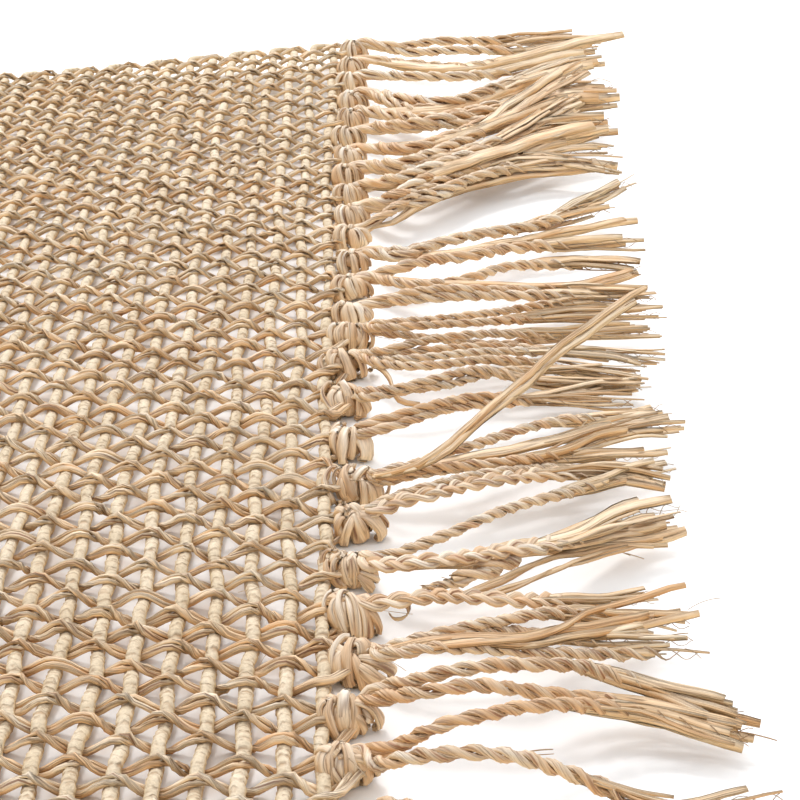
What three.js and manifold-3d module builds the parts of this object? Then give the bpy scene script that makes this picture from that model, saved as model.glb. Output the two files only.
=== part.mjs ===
// Seagrass placemat, laid flat: an open plain weave of thick pale rush cords crossed by
// thin twisted grass strands, with the strand ends knotted in bunches of three along both
// short edges and hanging out as a fringe.
// Millimetres, +Z up. +X runs along the strands (the mat's long side), +Y along the cords.
// The origin is on the table under the middle of the mat.
//
// Three solids: the woven panel, and one comb of knots and tails along each short edge.

import * as THREE from 'three';
import { mergeVertices } from 'three/addons/utils/BufferGeometryUtils.js';
import Module from 'manifold-3d';

// ---- driving dimensions -------------------------------------------------------------
const CORDS = 76;               // thick cords, side by side along X
const CORD_PITCH = 4.8;         // from one cord to the next
const ROWS = 81;                // rows of thin strands, side by side along Y
const ROW_PITCH = 4.107;
const ROWS_PER_KNOT = 3;
const THICK = 2.9;              // cord 1.9 and a strand ply 0.8, bedded into each other
const SIDE_PAST = 1.1;          // the panel past its last cord's middle
const SELV_PAST = 2.0;          // the panel past its last strand row's middle
const GAP = 0.3;                // between the panel and each comb

const HALF_X = (CORDS - 1) * CORD_PITCH / 2;     // middle of the last cord, 180
const HALF_Y = (ROWS - 1) * ROW_PITCH / 2;       // middle of the last row, 164.3
const KNOTS = ROWS / ROWS_PER_KNOT;

// How the mat strays from a true rectangle, and where its corners stand off the table.
const FLARE_X = 3.2;            // far end of the right edge leans out
const FLARE_XL = 1.6;           // near end of the left edge leans out
const PINCH_FAR = 23.0;         // the far long edge draws in between its corners
const PINCH_NEAR = 4.5;         // the near long edge does so less
const WAVE_X = 0.7;
const WAVE_Y = 0.8;
const LIFT_FAR = 3.0;           // far right corner
const LIFT_NEAR = 1.4;          // near left corner

// Knots: half sizes, and how far the middle of a knot lies past the last cord.
const KNOT = { x: 2.7, y: 2.9, z: 2.1, past: 4.9 };
const SPINE = { from: SIDE_PAST + GAP, to: 4.4, top: 3.0 };
const TAIL = { width: 3.4, neck: 2.4, high: 2.0, sections: 4 };

// One row for each bunch of the right fringe, from the far corner to the near one:
// how far its tips reach past the last cord, how far they lean sideways, and how high the
// bunch arches over the table.
const RIGHT = [
  { reach: 65, lean: 15, arch: 5.0 }, { reach: 66, lean: 18, arch: 5.0 }, { reach: 66, lean: 20, arch: 5.5 },
  { reach: 65, lean: 22, arch: 5.5 }, { reach: 65, lean: 24, arch: 6.0 }, { reach: 64, lean: 26, arch: 6.0 },
  { reach: 63, lean: 27, arch: 6.0 }, { reach: 62, lean: 28, arch: 5.5 }, { reach: 61, lean: 32, arch: 5.0 },
  { reach: 60, lean: 33, arch: 4.5 }, { reach: 58, lean: 29, arch: 4.0 }, { reach: 58, lean: 18, arch: 4.0 },
  { reach: 56, lean: 6, arch: 3.5 }, { reach: 57, lean: 2, arch: 4.0 }, { reach: 56, lean: 4, arch: 4.5 },
  { reach: 53, lean: 0, arch: 4.5 }, { reach: 51, lean: 1, arch: 5.0 }, { reach: 50, lean: 9, arch: 5.0 },
  { reach: 52, lean: 11, arch: 5.0 }, { reach: 51, lean: 10, arch: 5.0 }, { reach: 50, lean: 10, arch: 5.0 },
  { reach: 49, lean: 3, arch: 4.0 }, { reach: 50, lean: 4, arch: 5.0 }, { reach: 52, lean: -6, arch: 5.5 },
  { reach: 52, lean: 2, arch: 6.0 }, { reach: 46, lean: -5, arch: 5.5 }, { reach: 48, lean: -3, arch: 4.5 },
];
// The left fringe lies more plainly.
const LEFT = Array.from({ length: KNOTS }, (_, k) => ({
  reach: 52 + 3 * Math.sin(1.7 * k + 0.4) + 1.5 * Math.sin(0.6 * k),
  lean: 5 * Math.sin(0.9 * k + 1.1) + 3 * Math.sin(2.3 * k),
  arch: 4.2 + 0.9 * Math.sin(1.3 * k + 2.0),
}));

// ---- the mat's own shape ------------------------------------------------------------
const ramp = (a, b, t) => {
  const s = Math.min(1, Math.max(0, (t - a) / (b - a)));
  return s * s * (3 - 2 * s);
};

// Where the point X, Y of the true rectangle lies on the real mat.
function strayed(X, Y) {
  const u = X / HALF_X, v = Y / HALF_Y;
  const out = u > 0
    ? FLARE_X * ramp(0.15, 1.1, v) * u ** 3
    : FLARE_XL * ramp(0.2, 1.1, -v) * u ** 3;
  const drawn = v > 0
    ? PINCH_FAR * (1 - (u > 0 ? 0.94 : 0.86) * u * u) * v * v
    : -PINCH_NEAR * (1 - ramp(0.4, 1.0, Math.abs(u))) * v * v;
  return [
    X + out + WAVE_X * Math.sin(4.1 * v + 1.3) * u,
    Y - drawn + WAVE_Y * Math.sin(5.3 * u + 2.1) * v,
  ];
}

// How far the underside stands off the table there.
function lifted(X, Y) {
  const u = X / HALF_X, v = Y / HALF_Y;
  return LIFT_FAR * ramp(0.45, 1.05, u) * ramp(0.5, 1.05, v)
    + LIFT_NEAR * ramp(0.6, 1.05, -u) * ramp(0.6, 1.05, -v);
}

const unevenTop = (X, Y) =>
  THICK + 0.16 * Math.sin(X / 19 + 0.7) * Math.cos(Y / 23) + 0.1 * Math.sin(X / 47 + Y / 31);

// ---- building blocks ----------------------------------------------------------------
function geometryOf(points, faces) {
  const g = new THREE.BufferGeometry();
  g.setAttribute('position', new THREE.Float32BufferAttribute(points.flat(), 3));
  g.setIndex(faces.flat());
  return g;
}

// A closed sheet over a grid of nx by ny cells.
function sheet(nx, ny, top, under) {
  const points = [], faces = [];
  const at = (i, j, k) => (k * (ny + 1) + j) * (nx + 1) + i;
  for (const place of [under, top])
    for (let j = 0; j <= ny; j++)
      for (let i = 0; i <= nx; i++) points.push(place(i / nx, j / ny));
  const quad = (a, b, c, d) => faces.push([a, b, c], [a, c, d]);
  for (let j = 0; j < ny; j++)
    for (let i = 0; i < nx; i++) {
      quad(at(i, j, 1), at(i + 1, j, 1), at(i + 1, j + 1, 1), at(i, j + 1, 1));
      quad(at(i, j, 0), at(i, j + 1, 0), at(i + 1, j + 1, 0), at(i + 1, j, 0));
    }
  for (let i = 0; i < nx; i++) {
    quad(at(i, 0, 0), at(i + 1, 0, 0), at(i + 1, 0, 1), at(i, 0, 1));
    quad(at(i + 1, ny, 0), at(i, ny, 0), at(i, ny, 1), at(i + 1, ny, 1));
  }
  for (let j = 0; j < ny; j++) {
    quad(at(nx, j, 0), at(nx, j + 1, 0), at(nx, j + 1, 1), at(nx, j, 1));
    quad(at(0, j + 1, 0), at(0, j, 0), at(0, j, 1), at(0, j + 1, 1));
  }
  return geometryOf(points, faces);
}

// A closed bar through a list of sections, each a ring of the same number of points,
// wound so that the rings turn anticlockwise seen against the way the bar runs.
function bar(rings) {
  const n = rings[0].length, points = rings.flat(), faces = [];
  for (let s = 0; s + 1 < rings.length; s++)
    for (let k = 0; k < n; k++) {
      const a = s * n + k, b = s * n + (k + 1) % n, c = a + n, d = b + n;
      faces.push([a, b, d], [a, d, c]);
    }
  const last = (rings.length - 1) * n;
  for (let k = 1; k + 1 < n; k++) {
    faces.push([0, k + 1, k]);
    faces.push([last, last + k, last + k + 1]);
  }
  return geometryOf(points, faces);
}

// ---- joining ------------------------------------------------------------------------
const wasm = await Module();
wasm.setup();

function solid(geometry) {
  const g = geometry.clone();
  g.deleteAttribute('normal');
  g.deleteAttribute('uv');
  const m = mergeVertices(g, 1e-4);
  const s = new wasm.Manifold(new wasm.Mesh({
    numProp: 3,
    vertProperties: new Float32Array(m.attributes.position.array),
    triVerts: new Uint32Array(m.index.array),
  }));
  return s.volume() < 0
    ? new wasm.Manifold(new wasm.Mesh({
      numProp: 3,
      vertProperties: new Float32Array(m.attributes.position.array),
      triVerts: new Uint32Array(m.index.array).reverse(),
    }))
    : s;
}

function joined(geometries) {
  let whole = solid(geometries[0]);
  for (const g of geometries.slice(1)) whole = whole.add(solid(g));
  const mesh = whole.getMesh();
  const g = new THREE.BufferGeometry();
  g.setAttribute('position', new THREE.BufferAttribute(new Float32Array(mesh.vertProperties), 3));
  g.setIndex(new THREE.BufferAttribute(new Uint32Array(mesh.triVerts), 1));
  return g;
}

// ---- the woven panel ----------------------------------------------------------------
function panel() {
  const X = s => -HALF_X - SIDE_PAST + s * 2 * (HALF_X + SIDE_PAST);
  const Y = t => -HALF_Y - SELV_PAST + t * 2 * (HALF_Y + SELV_PAST);
  return sheet(26, 22,
    (s, t) => [...strayed(X(s), Y(t)), lifted(X(s), Y(t)) + unevenTop(X(s), Y(t))],
    (s, t) => [...strayed(X(s), Y(t)), lifted(X(s), Y(t))]);
}

// ---- a comb: knots and tails along one short edge -------------------------------------
// side is +1 for the right edge and -1 for the left one.
function comb(side, bunches) {
  const parts = [];
  const place = (past, Y, z) => {
    const [x, y] = strayed(side * HALF_X, Y);
    return [x + side * past, y, z + lifted(side * HALF_X, Y)];
  };

  // The strands between the weave and the knots.
  const spine = [];
  for (let k = 0; k <= KNOTS; k++) {
    const Y = HALF_Y + ROW_PITCH / 2 - k * ROWS_PER_KNOT * ROW_PITCH;
    spine.push([
      place(SPINE.from, Y, 0), place(SPINE.to, Y, 0),
      place(SPINE.to, Y, SPINE.top), place(SPINE.from, Y, SPINE.top),
    ]);
  }
  parts.push(bar(spine));

  bunches.forEach((b, k) => {
    const Y = HALF_Y - (1 + k * ROWS_PER_KNOT) * ROW_PITCH;
    const [kx, ky, kz] = place(KNOT.past, Y, 0);

    const knot = new THREE.SphereGeometry(1, 6, 4);
    knot.scale(KNOT.x, KNOT.y, KNOT.z);
    knot.translate(kx, ky, kz + KNOT.z + 0.02);
    parts.push(knot);

    const rings = [];
    for (let s = 0; s <= TAIL.sections; s++) {
      const t = s / TAIL.sections;
      const x = KNOT.past - 0.8 + t * (b.reach - KNOT.past + 0.8);
      const y = b.lean * (0.75 * t + 0.25 * t * t);
      const low = 0.15 + (b.arch - 1.2) * Math.sin(Math.PI * t ** 0.85) + 0.9 * (1 - t);
      const wide = TAIL.neck + (TAIL.width - TAIL.neck) * ramp(0.1, 1, t);
      const high = TAIL.high * (1 - 0.25 * t);
      const at = (across, up) => [kx + side * (x - KNOT.past), ky + y + across, kz + low + up];
      rings.push([
        at(-wide / 2, high * 0.35), at(-wide / 4, 0), at(wide / 4, 0),
        at(wide / 2, high * 0.35), at(0, high),
      ]);
    }
    parts.push(bar(rings));
  });
  return joined(parts);
}

// ---- the placemat ---------------------------------------------------------------------
const grass = new THREE.MeshStandardMaterial({ color: 0xcdb28c, roughness: 0.75, metalness: 0 });
const fringe = new THREE.MeshStandardMaterial({ color: 0xc9a97c, roughness: 0.72, metalness: 0 });

function piece(name, geometry, material) {
  geometry.computeVertexNormals();
  const mesh = new THREE.Mesh(geometry, material);
  mesh.name = name;
  return mesh;
}

const placemat = new THREE.Group();
placemat.add(
  piece('woven_panel', panel(), grass),
  piece('fringe_right', comb(1, RIGHT), fringe),
  piece('fringe_left', comb(-1, LEFT), fringe),
);

export default placemat;
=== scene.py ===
# Seagrass placemat, laid flat on a white table: rush cords crossed by twisted grass strands,
# with the strand ends knotted by threes along both short edges and left as a fringe.
# Lengths below are millimetres; meshes are scaled to metres as they are made.

import math

import bpy
import numpy as np
from mathutils import Matrix, Vector


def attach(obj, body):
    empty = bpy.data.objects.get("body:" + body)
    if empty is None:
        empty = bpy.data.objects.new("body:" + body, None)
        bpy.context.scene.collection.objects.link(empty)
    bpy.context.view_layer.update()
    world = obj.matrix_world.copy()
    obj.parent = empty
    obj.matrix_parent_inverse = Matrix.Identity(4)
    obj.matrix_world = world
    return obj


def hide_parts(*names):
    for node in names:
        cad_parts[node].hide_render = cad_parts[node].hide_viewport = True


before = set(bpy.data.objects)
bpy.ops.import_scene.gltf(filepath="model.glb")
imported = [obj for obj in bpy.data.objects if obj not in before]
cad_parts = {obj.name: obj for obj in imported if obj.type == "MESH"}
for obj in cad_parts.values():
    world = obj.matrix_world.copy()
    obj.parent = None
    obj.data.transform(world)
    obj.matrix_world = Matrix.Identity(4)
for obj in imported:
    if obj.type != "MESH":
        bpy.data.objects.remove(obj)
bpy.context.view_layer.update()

MM = 0.001
PI = math.pi
rng = np.random.default_rng(41)

# ---- the mat's own sizes --------------------------------------------------------------
CORDS, CORD_PITCH = 76, 4.8
ROWS, ROW_PITCH = 81, 4.107
HALF_X = (CORDS - 1) * CORD_PITCH / 2
HALF_Y = (ROWS - 1) * ROW_PITCH / 2
ROW_FAR, ROW_NEAR = -57, 23          # rows are counted towards the viewer, 0 in mid picture
ROW_MID = -17
KNOTS = ROWS // 3

MIDDLE = 1.48                        # height of the weave's middle
CORD_R, CORD_BEND = 0.91, 0.42
ARCH = 0.93                          # how far a strand's middle rises and dips
PLY_APART = 0.44                     # half the distance between a strand's two plies
PLY_TALL, PLY_WIDE = 0.40, 0.49

FLARE_X, FLARE_XL = 3.2, 1.6
PINCH_FAR, PINCH_NEAR = 23.0, 4.5
WAVE_X, WAVE_Y = 0.7, 0.8
LIFT_FAR, LIFT_NEAR = 3.0, 1.4
KNOT_PAST = 4.6
DRIFT = 0.9                          # how far the nearest cords lean outwards

# Ropes and loose blades of the right fringe: knot counted from the far corner, kind
# (1 loose blades, 2 two-ply rope, 3 plait), thickness, where it starts to fray, blades in
# the frayed end, how far they spread, and the line it follows.
RIGHT = [
    (0, 2, 1.10, 0.60, 5, 2.6, [(193.2, 154.7, 5.9), (198.6, 153.7, 7.7), (208.5, 157.1, 7.9), (221.0, 160.2, 7.0), (233.9, 166.3, 6.0), (243.7, 168.0, 6.0)]),
    (0, 2, 1.10, 0.60, 4, 2.2, [(193.6, 149.8, 5.3), (200.9, 151.7, 6.7), (210.7, 152.4, 6.9), (223.1, 155.2, 6.1), (236.2, 163.8, 5.1), (246.0, 162.2, 5.0)]),
    (1, 2, 1.00, 0.50, 5, 3.0, [(193.5, 144.4, 5.4), (202.9, 141.0, 6.7), (214.6, 138.3, 6.9), (227.2, 147.1, 6.3), (238.0, 157.7, 5.8), (247.0, 158.5, 6.0)]),
    (1, 1, 1.20, 0.00, 4, 2.6, [(193.3, 139.9, 5.2), (207.4, 136.8, 6.0), (222.0, 141.8, 5.9), (237.7, 154.7, 6.1), (253.1, 162.1, 7.0)]),
    (2, 2, 1.10, 0.50, 6, 3.4, [(192.7, 133.7, 6.0), (200.0, 127.7, 7.7), (211.5, 126.6, 7.9), (223.5, 132.1, 7.2), (236.5, 143.9, 6.7), (245.4, 146.0, 7.0)]),
    (3, 2, 1.20, 0.50, 6, 3.6, [(192.3, 115.5, 5.7), (199.3, 109.7, 7.4), (208.0, 106.1, 8.0), (215.2, 112.8, 7.7), (225.3, 125.1, 7.3), (235.7, 136.2, 7.4), (245.5, 138.9, 8.0)]),
    (3, 2, 1.10, 0.50, 5, 3.0, [(192.2, 111.5, 5.5), (199.1, 105.7, 6.8), (206.9, 106.4, 7.0), (215.2, 113.0, 6.8), (227.6, 125.7, 7.1), (241.9, 139.0, 8.0)]),
    (4, 1, 1.50, 0.00, 4, 3.0, [(192.0, 103.8, 5.6), (201.2, 102.6, 6.8), (212.6, 107.8, 7.0), (225.1, 123.0, 7.0), (235.0, 129.8, 7.8), (243.6, 132.0, 9.0)]),
    (4, 2, 1.20, 0.50, 6, 3.6, [(191.9, 99.4, 6.1), (200.9, 95.3, 7.7), (212.0, 98.7, 7.9), (223.8, 109.0, 7.4), (236.3, 119.9, 7.3), (245.7, 119.0, 8.0)]),
    (5, 2, 1.20, 0.50, 6, 3.6, [(191.6, 87.5, 6.7), (198.5, 88.1, 8.7), (207.2, 91.3, 8.9), (218.5, 98.8, 8.3), (230.7, 110.9, 8.2), (244.9, 109.4, 9.0)]),
    (5, 2, 1.10, 0.50, 5, 3.0, [(191.2, 86.7, 6.1), (198.5, 88.3, 7.7), (207.1, 90.2, 7.9), (218.2, 94.4, 7.4), (232.3, 104.6, 7.3), (244.1, 106.6, 8.0)]),
    (6, 2, 1.20, 0.50, 6, 3.6, [(190.8, 72.5, 6.8), (197.8, 71.8, 8.7), (206.5, 78.7, 8.9), (215.8, 90.9, 8.5), (228.2, 108.7, 8.9), (240.0, 123.6, 10.0)]),
    (6, 1, 1.50, 0.00, 4, 3.0, [(191.3, 73.3, 6.1), (200.0, 73.4, 7.7), (210.8, 80.4, 7.9), (222.5, 94.2, 7.4), (232.5, 106.1, 7.3), (242.4, 103.6, 8.0)]),
    (7, 2, 1.20, 0.50, 6, 3.4, [(190.6, 62.4, 6.8), (196.5, 62.8, 8.7), (203.9, 69.5, 8.9), (213.0, 82.6, 8.5), (225.3, 101.3, 8.9), (237.0, 117.2, 10.0)]),
    (7, 2, 1.20, 0.50, 6, 3.6, [(190.6, 62.0, 6.1), (197.4, 61.9, 7.7), (205.9, 68.6, 7.9), (217.0, 79.1, 7.4), (228.6, 90.1, 7.3), (241.6, 90.5, 8.0)]),
    (8, 2, 1.20, 0.50, 6, 3.4, [(190.4, 51.7, 6.7), (195.1, 53.1, 8.7), (203.4, 60.7, 8.9), (212.2, 71.2, 8.3), (224.2, 88.9, 8.2), (236.9, 106.5, 9.0)]),
    (8, 1, 1.50, 0.00, 4, 3.0, [(190.3, 51.1, 6.1), (197.1, 53.4, 7.7), (205.4, 59.8, 7.9), (216.3, 69.9, 7.4), (227.7, 80.5, 7.3), (240.2, 86.3, 8.0)]),
    (9, 2, 1.20, 0.50, 5, 3.0, [(189.7, 40.8, 6.1), (193.9, 45.2, 7.7), (201.2, 56.2, 7.9), (209.9, 67.5, 7.4), (221.3, 80.7, 7.3), (233.8, 97.9, 8.0)]),
    (9, 2, 1.10, 0.50, 6, 3.4, [(189.7, 40.5, 5.4), (194.1, 45.7, 6.7), (201.1, 53.1, 6.9), (211.9, 65.7, 6.3), (222.7, 72.0, 5.8), (239.1, 67.1, 6.0)]),
    (9, 2, 1.00, 0.60, 3, 1.6, [(190.1, 41.7, 4.5), (194.9, 45.4, 5.6), (202.9, 49.9, 6.0), (211.6, 62.3, 5.8), (225.1, 74.9, 5.2), (236.3, 80.9, 4.9), (240.7, 79.2, 5.0)]),
    (10, 2, 1.10, 0.60, 4, 2.2, [(189.5, 32.3, 4.8), (192.0, 39.4, 6.2), (196.9, 46.4, 6.9), (202.9, 50.7, 6.9), (211.5, 60.6, 6.4), (222.3, 67.6, 5.6), (232.9, 70.2, 5.0), (240.2, 66.2, 5.0)]),
    (10, 1, 1.00, 0.00, 3, 1.8, [(189.5, 32.3, 4.0), (192.7, 37.8, 4.7), (198.8, 47.0, 5.0), (207.3, 56.6, 4.8), (218.0, 64.9, 4.4), (228.7, 69.4, 4.0), (237.3, 71.8, 4.0)]),
    (11, 2, 1.15, 0.60, 6, 3.0, [(189.9, 18.0, 4.7), (193.9, 17.4, 6.1), (199.5, 20.3, 6.9), (207.2, 25.1, 6.9), (215.0, 29.9, 6.2), (223.3, 36.9, 5.1), (231.9, 44.7, 4.2), (235.7, 46.4, 4.0)]),
    (11, 2, 1.10, 0.62, 5, 2.8, [(190.0, 19.3, 5.0), (195.8, 19.5, 6.4), (203.3, 22.9, 7.0), (211.1, 27.8, 6.7), (221.1, 34.1, 5.8), (230.1, 45.9, 5.1), (241.3, 58.8, 5.0)]),
    (11, 1, 1.00, 0.00, 2, 0.8, [(189.9, 16.4, 5.0), (199.4, 17.6, 6.0), (210.8, 23.3, 5.6), (224.8, 33.3, 4.4), (240.7, 41.7, 4.0)]),
    (12, 2, 1.10, 0.66, 5, 2.4, [(190.1, 11.8, 4.5), (193.8, 12.8, 5.6), (199.3, 15.5, 6.0), (206.7, 18.0, 5.7), (214.5, 23.9, 4.9), (224.1, 26.6, 4.2), (238.7, 28.8, 4.0)]),
    (12, 2, 1.00, 0.70, 4, 1.6, [(190.1, 9.4, 4.3), (195.3, 5.7, 5.3), (202.3, 5.0, 5.9), (207.8, 8.1, 5.9), (213.6, 13.5, 5.4), (223.0, 15.6, 4.7), (232.6, 16.3, 4.1), (237.4, 14.5, 4.0)]),
    (12, 1, 1.00, 0.00, 2, 0.8, [(190.7, 6.5, 4.7), (202.2, 3.5, 5.8), (214.4, 1.8, 5.9), (224.3, 3.3, 5.2), (230.5, 9.2, 4.3), (237.4, 14.5, 4.0)]),
    (13, 2, 1.00, 0.65, 4, 2.0, [(190.2, 0.0, 4.7), (198.5, -1.9, 5.8), (208.9, -1.3, 5.9), (221.2, -0.3, 5.2), (229.1, 0.8, 4.3), (235.4, 0.4, 4.0)]),
    (13, 2, 1.00, 0.65, 4, 2.2, [(189.8, -0.6, 5.7), (198.5, -1.2, 7.0), (209.0, -0.4, 6.5), (221.5, 2.3, 5.3), (235.5, 1.6, 5.0)]),
    (14, 2, 1.05, 0.55, 6, 3.2, [(189.5, -14.6, 5.7), (196.1, -16.9, 7.0), (206.2, -14.5, 6.5), (220.2, -10.3, 5.3), (237.4, -9.2, 5.0)]),
    (14, 2, 1.00, 0.60, 5, 2.6, [(189.6, -11.2, 5.0), (198.0, -12.1, 6.0), (210.1, -8.1, 5.6), (222.9, -1.2, 4.4), (238.2, 1.2, 4.0)]),
    (14, 2, 1.00, 0.60, 4, 2.0, [(189.6, -11.5, 3.6), (197.8, -15.1, 4.0), (209.4, -17.6, 3.8), (219.8, -14.1, 3.3), (233.9, -10.5, 3.0)]),
    (15, 2, 1.05, 0.60, 5, 3.0, [(189.2, -24.5, 5.7), (195.8, -23.5, 7.0), (205.9, -19.5, 6.5), (219.4, -17.5, 5.3), (235.6, -16.9, 5.0)]),
    (15, 2, 1.00, 0.65, 5, 2.4, [(189.2, -24.5, 5.0), (197.4, -24.5, 6.0), (209.0, -22.4, 5.6), (218.9, -22.5, 4.4), (235.2, -24.4, 4.0)]),
    (15, 2, 1.00, 0.60, 5, 2.6, [(189.2, -25.4, 4.7), (195.6, -27.2, 5.8), (205.5, -25.5, 5.9), (215.4, -24.1, 5.2), (225.3, -24.0, 4.3), (232.8, -26.8, 4.0)]),
    (15, 2, 1.05, 0.60, 5, 2.6, [(189.2, -27.6, 5.0), (197.1, -30.8, 6.0), (206.9, -27.9, 5.6), (218.3, -28.1, 4.4), (230.9, -31.4, 4.0)]),
    (15, 1, 1.00, 0.00, 1, 0.6, [(189.2, -26.1, 3.5), (190.3, -31.7, 4.0), (191.2, -35.7, 3.7), (192.4, -37.3, 2.7), (195.2, -37.3, 2.0)]),
    (16, 2, 1.05, 0.55, 6, 3.0, [(186.4, -38.1, 4.9), (192.0, -39.9, 6.4), (198.3, -37.7, 7.0), (204.9, -34.0, 6.6), (211.2, -34.7, 5.4), (217.6, -34.8, 4.3), (230.6, -35.2, 4.0)]),
    (16, 2, 1.00, 0.60, 4, 2.2, [(186.7, -39.8, 4.7), (193.6, -39.4, 5.8), (199.9, -37.7, 5.9), (208.3, -31.8, 5.2), (218.1, -30.1, 4.3), (230.4, -29.8, 4.0)]),
    (17, 2, 1.15, 0.55, 5, 2.6, [(185.9, -50.1, 4.9), (191.6, -49.5, 6.3), (197.8, -47.1, 7.0), (204.2, -43.9, 6.5), (212.1, -42.2, 5.1), (221.0, -40.0, 3.6), (228.8, -39.3, 3.0)]),
    (17, 2, 1.10, 0.55, 5, 2.4, [(185.8, -51.9, 4.4), (191.6, -50.9, 5.5), (197.8, -47.5, 6.0), (204.1, -44.5, 5.6), (213.8, -41.1, 4.6), (223.9, -36.1, 3.5), (230.6, -33.8, 3.0)]),
    (18, 2, 1.10, 0.70, 4, 1.6, [(187.6, -65.5, 4.7), (192.5, -65.7, 6.0), (197.0, -63.8, 6.7), (203.0, -60.6, 7.0), (209.3, -56.1, 6.8), (215.7, -52.2, 6.3), (221.9, -50.9, 5.9), (228.2, -49.1, 5.8), (232.1, -47.5, 6.0)]),
    (18, 1, 1.15, 0.00, 2, 0.7, [(188.1, -69.1, 6.2), (193.1, -70.5, 8.2), (198.3, -65.3, 8.9), (203.2, -57.0, 9.0), (208.3, -49.0, 9.0), (217.4, -34.6, 9.8), (224.7, -26.5, 11.4), (233.6, -17.9, 13.0)]),
    (18, 1, 1.10, 0.00, 4, 2.2, [(187.9, -67.1, 4.9), (193.9, -66.8, 6.2), (201.2, -65.2, 6.9), (208.7, -62.3, 6.9), (214.9, -59.0, 6.5), (221.5, -54.1, 6.0), (227.9, -51.1, 5.8), (231.7, -50.3, 6.0)]),
    (18, 2, 1.10, 0.50, 6, 3.4, [(188.2, -67.0, 4.8), (193.9, -67.3, 6.2), (201.1, -67.4, 6.9), (208.4, -66.1, 6.9), (214.5, -63.2, 6.4), (221.0, -57.9, 5.6), (227.6, -53.7, 5.0), (233.6, -52.5, 5.0)]),
    (18, 2, 0.90, 0.60, 3, 1.6, [(188.7, -67.3, 4.3), (193.9, -67.0, 5.3), (201.2, -66.4, 5.9), (208.5, -65.5, 5.9), (214.5, -63.4, 5.4), (220.6, -61.5, 4.7), (226.8, -59.9, 4.1), (230.8, -58.8, 4.0)]),
    (19, 3, 1.30, 0.62, 6, 3.0, [(187.1, -76.4, 4.4), (190.8, -75.6, 5.6), (195.0, -75.3, 6.5), (200.7, -73.3, 6.9), (205.0, -71.9, 6.9), (210.9, -69.8, 6.4), (216.9, -68.1, 5.6), (221.4, -66.9, 4.7), (225.8, -66.9, 4.1), (229.0, -68.6, 4.0)]),
    (19, 2, 1.05, 0.75, 3, 1.2, [(187.1, -75.4, 4.8), (192.2, -74.0, 6.2), (196.5, -73.1, 6.9), (200.8, -70.9, 6.9), (205.3, -68.7, 6.4), (211.3, -66.4, 5.6), (217.2, -65.8, 5.0), (222.4, -65.9, 5.0)]),
    (20, 2, 1.10, 0.66, 5, 2.2, [(185.7, -89.6, 4.7), (189.6, -91.6, 6.3), (192.9, -91.2, 7.4), (197.0, -89.1, 7.9), (201.2, -85.6, 7.9), (205.7, -81.1, 7.2), (213.2, -75.2, 6.1), (219.5, -70.2, 5.0), (225.9, -65.8, 4.2), (231.0, -63.6, 4.0)]),
    (20, 3, 1.30, 0.55, 7, 4.6, [(186.2, -91.6, 4.8), (190.1, -94.3, 6.3), (194.0, -95.5, 7.4), (199.2, -95.3, 7.9), (204.6, -93.6, 7.9), (210.1, -91.4, 7.3), (214.6, -87.8, 6.4), (219.2, -83.6, 5.6), (223.9, -79.9, 5.0), (230.1, -77.7, 5.0)]),
    (20, 1, 1.00, 0.00, 3, 2.2, [(186.8, -91.2, 4.3), (192.8, -93.2, 5.3), (199.4, -93.4, 5.9), (206.2, -91.0, 5.9), (211.8, -89.2, 5.4), (217.4, -87.0, 4.7), (223.2, -85.0, 4.1), (230.6, -81.6, 4.0)]),
    (21, 3, 1.25, 0.62, 6, 2.6, [(185.5, -100.6, 4.1), (189.9, -101.4, 5.1), (195.0, -101.6, 5.7), (200.1, -102.5, 6.0), (205.2, -102.9, 5.7), (210.4, -102.1, 5.0), (214.4, -101.1, 4.0), (218.6, -99.3, 3.3), (222.9, -98.2, 3.0)]),
    (21, 1, 0.60, 0.00, 2, 0.7, [(186.3, -100.8, 4.3), (192.4, -101.3, 5.3), (197.6, -101.8, 5.8), (202.9, -98.9, 6.0), (208.6, -94.2, 6.2), (214.4, -89.8, 5.1), (220.2, -86.8, 4.2), (226.8, -86.6, 4.0)]),
    (21, 1, 0.55, 0.00, 2, 0.9, [(186.3, -100.8, 4.3), (193.6, -101.4, 5.4), (200.1, -102.2, 5.9), (205.4, -99.9, 5.8), (211.2, -94.8, 5.4), (217.1, -90.1, 4.3), (223.0, -86.4, 4.0)]),
    (21, 1, 0.75, 0.00, 1, 0.4, [(186.3, -101.0, 3.9), (188.6, -100.4, 4.1), (189.9, -100.2, 3.8), (190.8, -101.1, 3.4), (190.4, -102.1, 2.8), (189.2, -101.9, 2.4), (188.5, -100.6, 2.4)]),
    (22, 2, 1.10, 0.78, 3, 1.2, [(186.8, -113.5, 4.5), (190.0, -114.8, 5.8), (193.1, -115.4, 6.7), (199.1, -116.1, 7.0), (203.9, -116.3, 6.6), (209.0, -115.4, 5.6), (214.1, -113.8, 4.4), (220.6, -112.4, 3.4), (226.9, -112.2, 3.0)]),
    (22, 2, 1.05, 0.60, 4, 1.8, [(187.0, -112.7, 4.5), (190.7, -112.6, 5.8), (194.4, -112.7, 6.7), (199.4, -112.4, 7.0), (203.1, -111.8, 6.7), (207.5, -111.8, 5.9), (213.2, -111.3, 4.9), (219.5, -110.6, 4.2), (226.1, -110.5, 4.0)]),
    (22, 2, 1.10, 0.60, 5, 2.4, [(187.3, -112.9, 4.9), (191.9, -112.9, 6.5), (196.9, -112.4, 7.6), (201.9, -111.6, 8.0), (207.0, -109.4, 7.6), (211.6, -107.8, 6.5), (216.2, -107.1, 5.2), (221.5, -105.9, 4.3), (226.4, -106.8, 4.0)]),
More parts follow.
